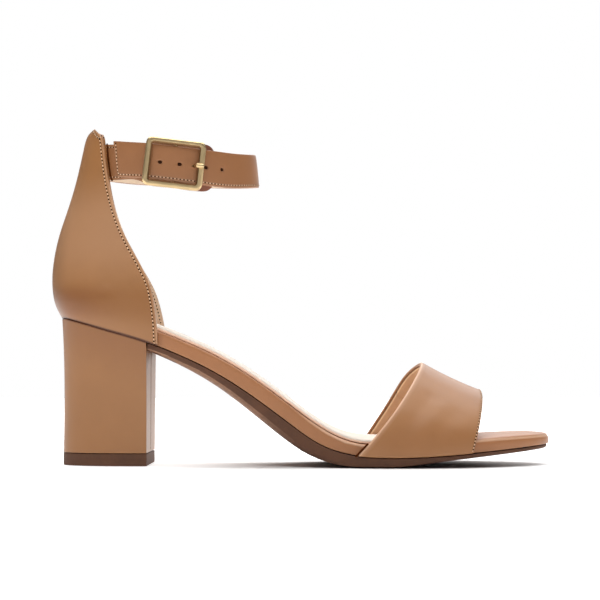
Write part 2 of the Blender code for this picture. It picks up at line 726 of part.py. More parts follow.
def make_rod(name, route, radii, across, sides=10):
    """Round rod along a flat route, each point with its own radius; across is square to the route."""
    points = []
    for i, (middle, radius) in enumerate(zip(route, radii)):
        ahead = route[min(i + 1, len(route) - 1)] - middle
        behind = middle - route[max(i - 1, 0)]
        forward = (ahead.normalized() + behind.normalized()).normalized()
        up = across.cross(forward)
        for k in range(sides):
            turn = 2 * pi * k / sides
            points.append(middle + (across * cos(turn) + up * sin(turn)) * radius)
    faces = [tuple(range(sides)), tuple(range(len(points) - sides, len(points)))]
    for low in range(0, len(points) - sides, sides):
        for k in range(sides):
            j = (k + 1) % sides
            faces.append((low + k, low + j, low + sides + j, low + sides + k))
    return make_object(name, points, faces, BRASS)


def make_buckle_prong():
    """Prong from the centre bar, up through the strap's hole and on to the front side bar."""
    place = buckle_matrix()
    hole, width, outwards, tangent = hole_frames()[PRONG_HOLE]
    under = (BAR_LIFT - STRAP_THICKNESS) / 2
    resting = FRAME_LIFT + FRAME_THICKNESS + GAP + PRONG_TIP_RADIUS
    tip = BUCKLE_LENGTH / 2
    start = CENTRE_BAR_RADIUS + GAP
    route = [
        (place @ Vector((start, 0, BAR_LEVEL)), PRONG_RADIUS),
        (hole - outwards * under - tangent * 2 * PRONG_RADIUS, PRONG_RADIUS),
        (hole - outwards * under / 2 - tangent * PRONG_RADIUS / 2, PRONG_RADIUS),
        (hole + outwards * GAP, PRONG_RADIUS),
        (hole + outwards * (STRAP_THICKNESS + PRONG_RADIUS), PRONG_RADIUS),
        (place @ Vector((tip - SIDE_BAR, 0, resting)), PRONG_TIP_RADIUS),
        (place @ Vector((tip - PRONG_TIP_LENGTH, 0, resting)), PRONG_TIP_RADIUS),
        (place @ Vector((tip, 0, resting)), PRONG_TIP_END),
    ]
    return make_rod("buckle_prong", [point for point, _ in route], [radius for _, radius in route], width)


def main():
    for obj in list(bpy.data.objects):
        bpy.data.objects.remove(obj)
    make_outsole()
    make_footbed()
    make_insole()
    make_heel()
    make_top_piece()
    make_counter()
    make_vamp()
    make_ankle_strap()
    make_buckle_strap()
    make_buckle_frame()
    make_buckle_prong()


main()
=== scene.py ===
# %% [markdown]
# # A block-heel ankle-strap sandal
# This lesson dresses the solids of a right-foot sandal in tan leather, with a cream sock, a dark sole
# and a brass buckle. The solids already have the true shape of the last, so most pieces start as a
# welded copy of a solid and gain rounded edges, seams, stitches and a finish. The two straps are cut
# flat and wrapped round the ankle instead, because holes are easier to punch in a flat strap.

# %% Load the solids
from math import atan, cos, exp, pi, radians, sin, sqrt

import bmesh
import bpy
import numpy as np
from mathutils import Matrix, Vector
from mathutils.bvhtree import BVHTree
from mathutils.kdtree import KDTree


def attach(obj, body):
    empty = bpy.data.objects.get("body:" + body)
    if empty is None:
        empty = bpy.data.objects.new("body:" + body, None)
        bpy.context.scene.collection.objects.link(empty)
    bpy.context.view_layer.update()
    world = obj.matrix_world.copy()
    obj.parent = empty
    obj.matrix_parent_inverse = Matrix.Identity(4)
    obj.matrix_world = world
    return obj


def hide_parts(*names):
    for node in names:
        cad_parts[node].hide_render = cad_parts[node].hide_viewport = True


MM = 0.001
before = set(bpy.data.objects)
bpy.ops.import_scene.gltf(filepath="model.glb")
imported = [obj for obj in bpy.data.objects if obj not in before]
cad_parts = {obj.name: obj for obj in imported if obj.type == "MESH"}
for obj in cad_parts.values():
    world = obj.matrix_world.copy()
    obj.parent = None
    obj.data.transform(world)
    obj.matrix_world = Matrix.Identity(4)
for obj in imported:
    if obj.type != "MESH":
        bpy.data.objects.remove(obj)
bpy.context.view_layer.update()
print("solids:", ", ".join(sorted(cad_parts)))

# %% [markdown]
# ## The camera
# The photograph looks level at the outer side of the shoe from just above the floor. Straight lines
# stay straight if the lens is long, so the camera stands 0.83 m away. Its lens follows from that
# distance and from half a millimetre of shoe falling on each pixel.

# %% Place the camera
PHOTO_SIDE = 600
PIXEL = 0.5 * MM
EYE_DISTANCE = 0.830
EYE_HEIGHT = 0.0418
EYE_ROW = 380

rise = (EYE_ROW - PHOTO_SIDE / 2) * PIXEL / EYE_DISTANCE
bpy.ops.object.camera_add(
    location=(-PIXEL / 2, -EYE_DISTANCE, EYE_HEIGHT), rotation=(pi / 2 + atan(rise), 0, 0))
camera = bpy.context.object
camera.name = "camera"
camera.data.sensor_width = 36
camera.data.lens = EYE_DISTANCE * camera.data.sensor_width / (PHOTO_SIDE * PIXEL)
bpy.context.scene.camera = camera
print("lens", round(camera.data.lens, 1), "mm")

# %% [markdown]
# ## Shader maths as sums
# A leather finish needs many small Math nodes. They could be placed one by one, but a sum such as
# 1 - mask is easier to read, so one class wraps a socket and turns Python's signs into Math nodes.
# A second class holds a material and adds every other kind of node in one way.

# %% A reading from a surface, and the finish it belongs to
class Reading:
    """A value that changes over a surface; Python's own signs add the Math nodes."""

    def __init__(self, finish, socket):
        self.finish = finish
        self.socket = socket

    def maths(self, operation, first, second):
        return self.finish.node("ShaderNodeMath", {"operation": operation}, {0: first, 1: second})

    def __add__(self, other):
        return self.maths("ADD", self, other)

    def __sub__(self, other):
        return self.maths("SUBTRACT", self, other)

    def __rsub__(self, other):
        return self.maths("SUBTRACT", other, self)

    def __mul__(self, other):
        return self.maths("MULTIPLY", self, other)

    def __abs__(self):
        return self.maths("ABSOLUTE", self, 0.0)

    __radd__ = __add__


class Finish:
    """A material with one shader; node() adds any node to it."""

    def __init__(self, name):
        self.material = bpy.data.materials.new(name)
        self.material.use_nodes = True
        self.tree = self.material.node_tree
        self.shader = self.tree.nodes["Principled BSDF"]
        self.place = self.node("ShaderNodeTexCoord", output="Object")

    def node(self, kind, settings=None, sockets=None, output=0):
        node = self.tree.nodes.new(kind)
        for name, value in (settings or {}).items():
            setattr(node, name, value)
        for name, value in (sockets or {}).items():
            self.plug(node.inputs[name], value)
        return Reading(self, node.outputs[output])

    def plug(self, socket, value):
        if isinstance(value, Reading):
            self.tree.links.new(value.socket, socket)
        else:
            socket.default_value = value

    def noise(self, scale, detail=2.0, roughness=0.5):
        sockets = {"Vector": self.place, "Scale": scale, "Detail": detail, "Roughness": roughness}
        return self.node("ShaderNodeTexNoise", None, sockets)

    def ease(self, value, low, high):
        """Nought below low, one above high, and a soft step between them."""
        sockets = {"Value": value, "From Min": low, "From Max": high}
        return self.node("ShaderNodeMapRange", {"interpolation_type": "SMOOTHSTEP"}, sockets)

    def fade(self, value, solid, reach):
        """One up to solid, fading to nought at its reach."""
        return 1 - self.ease(value, solid, reach)

    def band(self, value, middle, solid, reach):
        """One within solid of a middle value, fading to nought at its reach."""
        return self.fade(abs(value - middle), solid, reach)

    def distance(self, name):
        """A distance in millimetres that a piece carries at each of its points."""
        return self.node("ShaderNodeAttribute", {"attribute_name": name}, None, "Fac")

    def side_place(self):
        """A point's place along the shoe and above the floor, in millimetres."""
        return [self.node("ShaderNodeSeparateXYZ", None, {"Vector": self.place}, axis) * (1 / MM)
                for axis in "XZ"]

    def mix(self, share, first, second):
        """A colour between two colours."""
        settings = {"data_type": "RGBA"}
        return self.node("ShaderNodeMix", settings, {0: share, 6: first, 7: second}, output=2)

    def bump(self, height, depth, strength):
        return self.node(
            "ShaderNodeBump", None, {"Strength": strength, "Distance": depth, "Height": height})

    def dress(self, **sockets):
        """Sets the shader's sockets, named with underscores for spaces."""
        for name, value in sockets.items():
            self.plug(self.shader.inputs[name.replace("_", " ")], value)


def tone(colour, strength=1.0):
    """A colour as a socket takes it, made darker or lighter by a strength."""
    return (*[min(1.0, part * strength) for part in colour], 1.0)


print("shader sums ready")

# %% [markdown]
# ## Smooth tan leather
# The upper is smooth calf leather with a satin finish: a very fine grain, slow clouds of lighter and
# darker tan, and marks along its edges, most of them painted light and shade. So the pieces later carry
# distances that the finish reads: edge_mm to a sewn edge, for a pale line of painted highlight and for
# the groove that stitches pull into the leather, which painted shade darkens, fold_mm to a turned
# edge, for a painted highlight on its roll, and seam_mm to the seam above the heel, for a dark line of
# painted shade there and a painted shadow below it.

# %% The leather's colours
TAN = (0.385, 0.160, 0.062)
FRONT_TAN = (0.390, 0.175, 0.066)
BACK_TAN = (0.322, 0.139, 0.044)
STRAP_TAN = (0.300, 0.126, 0.048)
# the under strap's tab, darker as painted shade under the long strap and buckle
TAB_SHADE_BROWN = (0.21, 0.066, 0.030)
# the dark brown of painted shade in seams and joints
SEAM_SHADE_BROWN = (0.080, 0.018, 0.001)
# the colour of the painted highlights on the tan leather
HIGHLIGHT_TAN = (0.68, 0.42, 0.27)
SHADE_SHARE = (0.6, 0.42, 0.2)  # the share of red, green and blue left in painted shade


# A colour darkened to painted shade.
def shade_tone(colour):
    return (*[part * left for part, left in zip(colour, SHADE_SHARE)], 1.0)


print("sheltered tan:", [round(part, 3) for part in shade_tone(TAN)[:3]])

# %% [markdown]
# These tones are painted light and shade: a painted highlight where the leather bulges and painted
# shade where little light reaches it. The lights could do this alone, but painted into the leather
# these tones show from every side. One function for each piece lays them in soft bands, placed in
# millimetres along the shoe and above the floor.

# %% The painted light and shade of three pieces
HIGHLIGHT_SLOPE = 0.32  # the toe band falls towards the toe, and its tones fall with it
CREST_SLOPE = 0.52


def back_tones(finish, body, colour):
    """Painted highlight where the closed back bulges, painted shade above its foot that grows towards
    the back, and more painted shade across the back.
    """
    along, above = finish.side_place()
    painted_highlight = finish.band(above, middle=115, solid=5, reach=34)
    hollow_shade = finish.band(above, middle=79, solid=2, reach=13)
    behind = finish.fade(along, solid=-115, reach=-82)
    back_shade = finish.fade(along, solid=-124, reach=-112)
    body = finish.mix(painted_highlight * 0.25, body, tone(HIGHLIGHT_TAN))
    body = finish.mix(hollow_shade * (behind * 0.55 + 0.2), body, shade_tone(colour))
    return finish.mix(back_shade * 0.45, body, tone(colour, 0.45))


def front_tones(finish, body, colour):
    """Painted highlight half way up the toe band, painted shade near the sole and a little painted
    shade along its crest.
    """
    along, above = finish.side_place()
    painted_highlight = finish.band(above + along * HIGHLIGHT_SLOPE, middle=49, solid=2, reach=9)
    painted_shade = finish.band(above, middle=14, solid=2, reach=9)
    # painted shade along the crest of the toe band
    crest = finish.ease(above + along * CREST_SLOPE, low=72, high=81)
    body = finish.mix(painted_highlight * 0.14, body, tone(HIGHLIGHT_TAN))
    body = finish.mix(painted_shade * 0.16, body, shade_tone(colour))
    return finish.mix(crest * 0.3, body, shade_tone(colour))


def footbed_tones(finish, body, colour):
    """A painted highlight on the rolled edge under the sock, in front of the shank."""
    along = finish.side_place()[0]
    edge = finish.fade(finish.distance("edge_mm"), solid=0.2, reach=1.0)
    in_front = finish.ease(along, low=-5, high=12)
    return finish.mix(edge * in_front * 0.8, body, tone(HIGHLIGHT_TAN))


# %% The leather finishes
FAR_FROM_EDGE = 26.0  # millimetres; no edge shows its mark further in
COUNTER_INSET = 1.7  # how far in from its edge each row of stitches lies, in millimetres
VAMP_INSET = 1.0
STRAP_INSET = 1.4
GROOVE_REACH = 0.75
GROOVE_DEPTH = 2.6  # in heights of the grain
COAT = 0.12


def leather(name, colour, roughness, clouds=0.035, groove=None, edge_highlight=0.0, fold_highlight=False,
            tones=None, painted_shade=False, seam=False):
    """A satin leather; the later arguments say which marks a piece shows, most of them painted light
    and shade.
    """
    finish = Finish(name)
    cloud = finish.noise(42.0, 3.0, 0.6)
    speckle = finish.noise(420.0)
    grain = finish.noise(1900.0, 3.0, 0.6)
    pores = finish.node(
        "ShaderNodeTexVoronoi", {"feature": "SMOOTH_F1"},
        {"Vector": finish.place, "Scale": 1150.0, "Smoothness": 0.6})
    share = finish.ease(cloud * 0.8 + speckle * 0.2, 0.3, 0.7)
    body = finish.mix(share, tone(colour, 1 - clouds), tone(colour, 1 + clouds))
    height = grain * 0.5 + pores * 0.5
    coat = COAT
    if tones:
        body = tones(finish, body, colour)
    # a pale line along the sewn edge: painted highlight
    if edge_highlight:
        line = finish.fade(finish.distance("edge_mm"), 0.2, 1.2)
        body = finish.mix(line * edge_highlight, body, tone(HIGHLIGHT_TAN))
    # a painted highlight on the roll of a turned edge
    if fold_highlight:
        fold = finish.distance("fold_mm")
        body = finish.mix(finish.fade(fold, 0.3, 3.0) * 0.4, body, tone(HIGHLIGHT_TAN))
        body = finish.mix(finish.fade(fold, 0.5, 1.2) * 0.7, body, tone(HIGHLIGHT_TAN, 1.15))
    # a painted shadow below the seam, where the closed back overhangs the heel
    if painted_shade:
        near = finish.fade(finish.distance("seam_mm"), 0.0, FAR_FROM_EDGE)
        body = finish.mix(near * 0.45, body, shade_tone(colour))
    # a dark line of painted shade at the seam between the closed back and the heel
    if seam:
        line = finish.fade(finish.distance("seam_mm"), 0.4, 1.1)
        body = finish.mix(line * 0.95, body, tone(SEAM_SHADE_BROWN))
        coat = COAT - line * COAT
    if groove is not None:
        trough = finish.band(finish.distance("edge_mm"), groove, 0.0, GROOVE_REACH)
        # the groove is darkened with painted shade, as well as dented by the bump
        body = finish.mix(trough * 0.22, body, tone(colour, 0.55))
        height = height - trough * GROOVE_DEPTH
    finish.dress(
        Base_Color=body, Roughness=roughness - 0.05 + speckle * 0.1, Coat_Weight=coat,
        Coat_Roughness=0.32, Normal=finish.bump(height, 0.045 * MM, 0.5))
    return finish.material


# the heel gets the painted shadow below the closed back and the seam's painted shade
heel_leather = leather("heel_leather", BACK_TAN, 0.44, painted_shade=True, seam=True)
footbed_leather = leather("footbed_leather", TAN, 0.44, tones=footbed_tones)
counter_leather = leather(
    "counter_leather", BACK_TAN, 0.4, groove=COUNTER_INSET, edge_highlight=0.3, tones=back_tones, seam=True)
vamp_leather = leather(
    "vamp_leather", FRONT_TAN, 0.46, groove=VAMP_INSET, fold_highlight=True, tones=front_tones)
strap_leather = leather(
    "strap_leather", STRAP_TAN, 0.42, clouds=0.05, groove=STRAP_INSET, edge_highlight=0.12)
tab_shade_leather = leather("tab_shade_leather", TAB_SHADE_BROWN, 0.5)
print("leathers:", heel_leather.name, counter_leather.name, vamp_leather.name, strap_leather.name)

# %% [markdown]
# ## Linings and the cream sock
# The inside is thin unfinished leather: matt, paler and slightly fibrous. At the back of the toe band
# the outer leather is turned over on to the lining, so that lining has a tan margin, and a thin painted
# shadow and a pale ridge of painted highlight where the margin ends. The cream sock's lower edge takes
# a warmer colour, a painted highlight.

# %% The matt finishes
# the painted highlight on the ridge at the end of a turned margin
RIDGE_HIGHLIGHT = (1.0, 0.72, 0.45)
# the peach of a painted highlight
PEACH_HIGHLIGHT = (0.95, 0.60, 0.41)
TURN_SOFTNESS = 0.1  # millimetres over which the turned leather stops
RIDGE_BEYOND = 0.3


def matt(name, colour, roughness, clouds=0.06, turned=None, lower_edge_highlight=0.0):
    """An unfinished leather; turned is the width of the margin that is turned over on to it."""
    finish = Finish(name)
    cloud = finish.noise(55.0, 3.0, 0.6)
    fibre = finish.noise(1300.0, 4.0, 0.65)
    share = finish.ease(cloud, 0.3, 0.7)
    body = finish.mix(share, tone(colour, 1 - clouds), tone(colour, 1 + clouds))
    body = finish.mix(fibre * 0.2, body, tone(colour, 0.75))
    height = fibre
    # a painted highlight along the sock's lower edge, where the footbed's rolled edge meets it
    if lower_edge_highlight:
        line = finish.fade(finish.distance("edge_mm"), 0.6, 1.6)
        body = finish.mix(line * lower_edge_highlight, body, tone(PEACH_HIGHLIGHT))
    if turned is not None:
        fold = finish.distance("fold_mm")
        margin = finish.fade(fold, turned - TURN_SOFTNESS, turned + TURN_SOFTNESS)
        # a thin painted shadow where the turned margin ends
        shadow = finish.band(fold, turned - TURN_SOFTNESS, 0.03, 0.18)
        # a painted highlight on the ridge just beyond it
        ridge = finish.band(fold, turned + RIDGE_BEYOND, 0.05, 0.4)
        body = finish.mix(margin, body, tone(TAN, 0.85))
        body = finish.mix(ridge * 0.85, body, tone(RIDGE_HIGHLIGHT))
        body = finish.mix(shadow * 0.8, body, tone(TAN, 0.35))
        height = height + margin * 6.0
    finish.dress(
        Base_Color=body, Roughness=roughness - 0.06 + fibre * 0.12,
        Normal=finish.bump(height, 0.05 * MM, 0.5))
    return finish.material


lining = matt("beige_lining", (0.76, 0.58, 0.43), 0.75)
vamp_lining = matt("toe_band_lining", (0.70, 0.40, 0.225), 0.72, turned=2.5)
strap_lining = matt("strap_lining", (0.84, 0.68, 0.52), 0.75)
cream_sock = matt("cream_sock", (0.76, 0.68, 0.59), 0.62, clouds=0.02, lower_edge_highlight=0.85)
print("matt finishes:", lining.name, vamp_lining.name, strap_lining.name, cream_sock.name)

# %% [markdown]
# ## Dark sole and brass
# The sole is dark brown rubber with faint scuffs, and the chamfer under its shank is painted paler, a
# painted reflection of the white floor that fades towards the ball. The same finish without gloss
# shades the seams. The buckle is satin brass: fully metallic, with a fine cloudy roughness in place of
# a mirror.

# %% The sole and brass finishes
SOLE_BROWN = (0.104, 0.040, 0.017)
CHAMFER_REFLECTION_TAN = (0.29, 0.150, 0.085)
CHAMFER_FADE = (-38, 8)  # millimetres along the shoe


def rubber(name, colour, roughness, gloss=0.5, fades_to=None):
    finish = Finish(name)
    cloud = finish.noise(70.0, 3.0, 0.6)
    scuff = finish.noise(650.0, 4.0, 0.7)
    share = finish.ease(cloud * 0.6 + scuff * 0.4, 0.35, 0.65)
    body = finish.mix(share, tone(colour, 0.82), tone(colour, 1.18))
    if fades_to:
        along = finish.side_place()[0]
        body = finish.mix(finish.ease(along, *CHAMFER_FADE), body, tone(fades_to))
    finish.dress(
        Base_Color=body, Roughness=roughness - 0.08 + scuff * 0.16, Specular_IOR_Level=gloss,
        Normal=finish.bump(scuff, 0.05 * MM, 0.5))
    return finish.material


def satin_metal(name, colour, roughness):
    finish = Finish(name)
    cloud = finish.noise(180.0, 3.0)
    brushed = finish.noise(2400.0)
    share = finish.ease(cloud, 0.3, 0.7)
    body = finish.mix(share, tone(colour, 0.92), tone(colour, 1.06))
    finish.dress(
        Base_Color=body, Metallic=1.0, Roughness=roughness - 0.06 + brushed * 0.12,
        Normal=finish.bump(brushed, 0.01 * MM, 0.4))
    return finish.material


seam_shade = rubber("seam_shade", SEAM_SHADE_BROWN, 0.8, gloss=0.05)
dark_sole = rubber("dark_sole", SOLE_BROWN, 0.72)
sole_chamfer_reflection = rubber("sole_chamfer_reflection", CHAMFER_REFLECTION_TAN, 0.65, fades_to=SOLE_BROWN)
brass = satin_metal("buckle_brass", (0.67, 0.50, 0.27), 0.4)
shaded_brass = satin_metal("shaded_brass", (0.26, 0.15, 0.07), 0.5)
print("sole and buckle finishes:", dark_sole.name, sole_chamfer_reflection.name, brass.name)

# %% [markdown]
# ## Working on one piece at a time
# An operator acts on all that is selected, so a helper first deselects everything else. A copy of a
# solid comes as loose triangles: it is welded, and its triangles are joined back to the four-sided
# faces that subdivision likes. A bevel rounds the sharp edges and the subdivision smooths the rest.

# %% Copy, round and settle a piece
def select_only(piece):
    bpy.ops.object.select_all(action="DESELECT")
    piece.select_set(True)
    bpy.context.view_layer.objects.active = piece


def new_piece(name, mesh, materials):
    """An object with a mesh and its materials, ready for the operators."""
    mesh.name = name
    mesh.materials.clear()
    for material in materials:
        mesh.materials.append(material)
    piece = bpy.data.objects.new(name, mesh)
    bpy.context.collection.objects.link(piece)
    select_only(piece)
    return piece


def copy_solid(node, name, *materials):
    """A welded copy of a solid with four-sided faces."""
    piece = new_piece(name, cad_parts[node].data.copy(), materials)
    bpy.ops.mesh.customdata_custom_splitnormals_clear()
    bpy.ops.object.mode_set(mode="EDIT")
    bpy.ops.mesh.select_all(action="SELECT")
    bpy.ops.mesh.remove_doubles(threshold=1e-6)
    bpy.ops.mesh.tris_convert_to_quads(face_threshold=radians(60), shape_threshold=radians(60))
    bpy.ops.object.mode_set(mode="OBJECT")
    return piece


def choose(piece, faces=None, vertices=None):
    """Selects what a test picks out of a piece in edit mode."""
    bm = bmesh.from_edit_mesh(piece.data)
    bpy.ops.mesh.select_all(action="DESELECT")
    for items, test in ((bm.faces, faces), (bm.verts, vertices)):
        if test:
            for item in items:
                item.select_set(item.select or test(item))
    bmesh.update_edit_mesh(piece.data)


def apply_modifier(piece, kind, **settings):
    select_only(piece)
    modifier = piece.modifiers.new(kind.lower(), kind)
    for name, value in settings.items():
        setattr(modifier, name, value)
    bpy.ops.object.modifier_apply(modifier=modifier.name)


def round_edges(piece, width, segments=3, sharper_than=40):
    apply_modifier(
        piece, "BEVEL", width=width * MM, segments=segments, limit_method="ANGLE",
        angle_limit=radians(sharper_than))


def soften(piece, levels):
    apply_modifier(piece, "SUBSURF", levels=levels, render_levels=levels)
    bpy.ops.object.shade_smooth()


def settle(piece, slot, *nodes):
    """Fixes a finished piece to the shoe and lets it stand for its solids."""
    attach(piece, "root")
    if nodes:
        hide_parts(*nodes)
    spots = np.array([vertex.co for vertex in piece.data.vertices])
    size = " x ".join(f"{side / MM:.1f}" for side in np.ptp(spots, axis=0))
    print(f"{piece.name}: {size} mm, {len(piece.data.polygons)} faces")


# %% [markdown]
# ## The outsole
# A thin dark sole runs from the heel breast to the toe. Under the shank its lower edge is a chamfer,
# and those faces, which look sideways and down, get a paler finish, a painted reflection of the white
# floor. The chamfered edge lies a little lower there than the solid's, so a table says how far the
# underside moves down.

# %% The outsole
CHAMFER_END = 20 * MM
CHAMFER_RISE = (-0.9, -0.2)  # between these a face looks sideways and down
UNDERSIDE = (0.35, 0.7)  # a point that faces down by this much starts to move, and moves in full
DEEPER_AT = (-72, -55, -20, 0, 16, 32)  # millimetres along the shoe
DEEPER_BY = (0.0, 0.5, 1.1, 1.4, 0.8, 0.0)  # how much lower the edge lies than the solid's


def paint_faces(piece, index, chosen):
    """Gives a material to the faces that a test of centre and normal picks out."""
    for face in piece.data.polygons:
        if chosen(face.center, face.normal):
            face.material_index = index


outsole = copy_solid("outsole", "dark_outsole", dark_sole, sole_chamfer_reflection)
round_edges(outsole, 0.35, 2)
soften(outsole, 1)
for vertex in outsole.data.vertices:
    share = np.interp(-vertex.normal.z, UNDERSIDE, (0, 1))
    vertex.co.z -= share * np.interp(vertex.co.x / MM, DEEPER_AT, DEEPER_BY) * MM
# the shank's chamfer gets the paler finish, a painted reflection of the floor
paint_faces(outsole, 1, lambda at, facing: (
    at.x < CHAMFER_END and CHAMFER_RISE[0] < facing.z < CHAMFER_RISE[1]))
settle(outsole, "dark_sole", "outsole")

# %% [markdown]
# ## Distances to an edge
# A finish can't tell where an edge is, so each point of a piece carries its distance to the nearest
# one. The edges are found on the welded copy, before rounding adds new ones.

# %% Edges and distances
EDGE_STEP = 0.4 * MM


def edges_across(piece, measure, level, wanted=None):
    """The edges where a measure of the faces passes a level, each as the numbers and the places of its
    ends. A test of the lower face's normal may leave some out."""
    bm = bmesh.new()
    bm.from_mesh(piece.data)
    found = []
    for edge in bm.edges:
        sides = sorted((measure(face), face.index, face.normal) for face in edge.link_faces)
        if len(sides) == 2 and sides[0][0] < level < sides[1][0]:
            if not wanted or wanted(sides[0][2]):
                found.append([(vertex.index, vertex.co.copy()) for vertex in edge.verts])
    bm.free()
    return found


def side_edges(piece, rise):
    """The edges between faces that look up by more and by less than a rise."""
    return [[place for _, place in ends]
            for ends in edges_across(piece, lambda face: face.normal.z, rise)]


def thread_out(path, step):
    """The same path as evenly spaced points."""
    points = np.array(path)
    lengths = np.concatenate([[0], np.cumsum(np.linalg.norm(np.diff(points, axis=0), axis=1))])
    count = max(2, int(round(lengths[-1] / step)))
    at = np.linspace(0, lengths[-1], count + 1)
    return [Vector([np.interp(spot, lengths, points[:, axis]) for axis in range(3)]) for spot in at]


def measure_edge(piece, name, *paths):
    """Writes each point's distance to the nearest of some edges, in millimetres."""
    spots = [spot for path in paths for spot in thread_out(path, EDGE_STEP)]
    tree = KDTree(len(spots))
    for index, spot in enumerate(spots):
        tree.insert(spot, index)
    tree.balance()
    values = [min(tree.find(vertex.co)[2] / MM, FAR_FROM_EDGE) for vertex in piece.data.vertices]
    piece.data.attributes.new(name, "FLOAT", "POINT").data.foreach_set("value", values)


# %% [markdown]
# ## The footbed and its sock
# The insole board is wrapped in tan leather, which shows as a narrow band below the cream sock and as
# the rounded lip in front of the toes. The sock's lower face is moved down a little, so that no gap
# shows under it.

# %% The footbed and the sock
SIDE_RISE = 0.35  # a face that looks up by less belongs to the side
LOOKS_DOWN = -0.5
SOCK_DROP = 0.2 * MM  # lets the sock lie on the footbed
SHANK_DROP = 0.4 * MM  # presses it tight behind the ball
SHANK_END = -5 * MM

footbed = copy_solid("footbed", "wrapped_footbed", footbed_leather)
rolled_edges = side_edges(footbed, SIDE_RISE)
round_edges(footbed, 0.5, 2)
soften(footbed, 2)
measure_edge(footbed, "edge_mm", *rolled_edges)
settle(footbed, "tan_leather", "footbed")

insole = copy_solid("insole", "cream_insole", cream_sock)
sock_edges = side_edges(insole, -SIDE_RISE)
round_edges(insole, 0.35, 2, 50)
bpy.ops.object.mode_set(mode="EDIT")
choose(insole, faces=lambda face: face.normal.z < LOOKS_DOWN)
bpy.ops.transform.translate(value=(0, 0, -SOCK_DROP))
choose(insole, faces=lambda face: (
    face.normal.z < LOOKS_DOWN and face.calc_center_median().x < SHANK_END))
bpy.ops.transform.translate(value=(0, 0, -SHANK_DROP))
bpy.ops.object.mode_set(mode="OBJECT")
soften(insole, 2)
measure_edge(insole, "edge_mm", *sock_edges)
settle(insole, "cream_sock", "insole")

# %% [markdown]
# ## The block heel
# One sheet of leather covers the block and its two ends meet down the middle of the breast, the flat
# front of the heel. The seam could be painted, but a real groove catches the light: the breast is
# bisected, the new edge is bevelled into a narrow strip, and the middle of the strip is pushed in. Its
# bottom is also painted with the seam shade, as painted shade in the groove. The top of the block,
# which the closed back covers, is inset, painted with the seam shade as painted shade in the joint,
# and raised a little to meet it.

# %% The heel and its seam
BREAST_X = -74.6 * MM
SEAM_HALF_WIDTH = 1.3 * MM
SEAM_DARK_HALF_WIDTH = 0.9 * MM
SEAM_DEPTH = 1.2 * MM
SEAT_INSET = 1.0 * MM
SEAT_HEIGHT = 0.5 * MM

heel = copy_solid("heel", "covered_heel", heel_leather, seam_shade)
round_edges(heel, 0.7, 3)
bpy.ops.object.mode_set(mode="EDIT")
choose(heel, faces=lambda face: face.normal.z > 0.8)
bpy.ops.mesh.inset(thickness=SEAT_INSET)
# the inset seat takes the seam shade: painted shade in the joint under the closed back
heel.active_material_index = 1
bpy.ops.object.material_slot_assign()
bpy.ops.transform.translate(value=(0, 0, SEAT_HEIGHT))
choose(heel, faces=lambda face: face.normal.x > 0.95)
bpy.ops.mesh.bisect(plane_co=(0, 0, 0), plane_no=(0, 1, 0))
bpy.ops.mesh.bevel(offset=SEAM_HALF_WIDTH, segments=4, affect="EDGES")
choose(heel, vertices=lambda vertex: (
    abs(vertex.co.y) < 0.05 * MM and vertex.co.x > BREAST_X - 1 * MM))
bpy.ops.transform.translate(value=(-SEAM_DEPTH, 0, 0))
bpy.ops.object.mode_set(mode="OBJECT")
soften(heel, 2)
# the bottom of the groove is painted with the seam shade: painted shade
paint_faces(heel, 1, lambda at, facing: (
    abs(at.y) < SEAM_DARK_HALF_WIDTH and at.x > BREAST_X - SEAM_DEPTH * 1.5))
settle(heel, "tan_leather", "heel")

top_piece = copy_solid("heel_top_piece", "heel_tip", dark_sole)
round_edges(top_piece, 0.4, 2)
soften(top_piece, 1)
settle(top_piece, "dark_sole", "heel_top_piece")

# %% [markdown]
# ## The closed back
# The counter is one wall of leather, lined, with its front and top edges sewn close to the cut. Its rim
# and its foot on the heel are found on the welded copy, where an outer face meets a face of the cut.
# The rim later guides the stitches. Two soft creases are pressed into the side just above the foot.

# %% Rims and distances
CUT_FACES_DOWN = -0.5
INSIDE_LEAN = -0.35  # a face of a wall that leans outwards by less is lined
PRESS_REACH = 3  # in spreads; a trough has faded there


def rim_path(piece, outwards, outer_lean, wanted):
    """Points in order along the edge where a wall's outer face, which leans outwards by at least
    outer_lean, meets a wanted face of the cut."""
    def lean(face):
        return face.normal.dot(outwards(face.calc_center_median()))

    links, places = {}, {}
    for ends in edges_across(piece, lean, outer_lean, wanted):
        for (index, place), (other, _) in (ends, ends[::-1]):
            places[index] = place
            links.setdefault(index, []).append(other)
    longest = []
    for start in sorted(index for index, near in links.items() if len(near) == 1):
        path = [start]
        while ahead := [index for index in links[path[-1]] if index not in path]:
            path.append(ahead[0])
        if len(path) > len(longest):
            longest = path
    return [places[index] for index in longest]


def press(piece, start, end, push, spread):
    """Presses a soft trough along a line; push is its direction and depth in millimetres."""
    start, end, push = Vector(start) * MM, Vector(end) * MM, Vector(push) * MM
    along = end - start
    for vertex in piece.data.vertices:
        share = min(1, max(0, (vertex.co - start).dot(along) / along.length_squared))
        away = (vertex.co - start - along * share).length / (spread * MM)
        if away < PRESS_REACH:
            vertex.co += push * exp(-away * away)


# %% The counter
ANKLE_HEIGHTS = (110 * MM, 165 * MM)
ANKLE_MIDDLES = (-70 * MM, -88 * MM)  # the ankle leans back as it rises
COUNTER_LEAN = 0.4  # an outer face leans outwards by more


def away_from_ankle(point):
    middle = np.interp(point.z, ANKLE_HEIGHTS, ANKLE_MIDDLES)
    return Vector((point.x - middle, point.y, 0)).normalized()


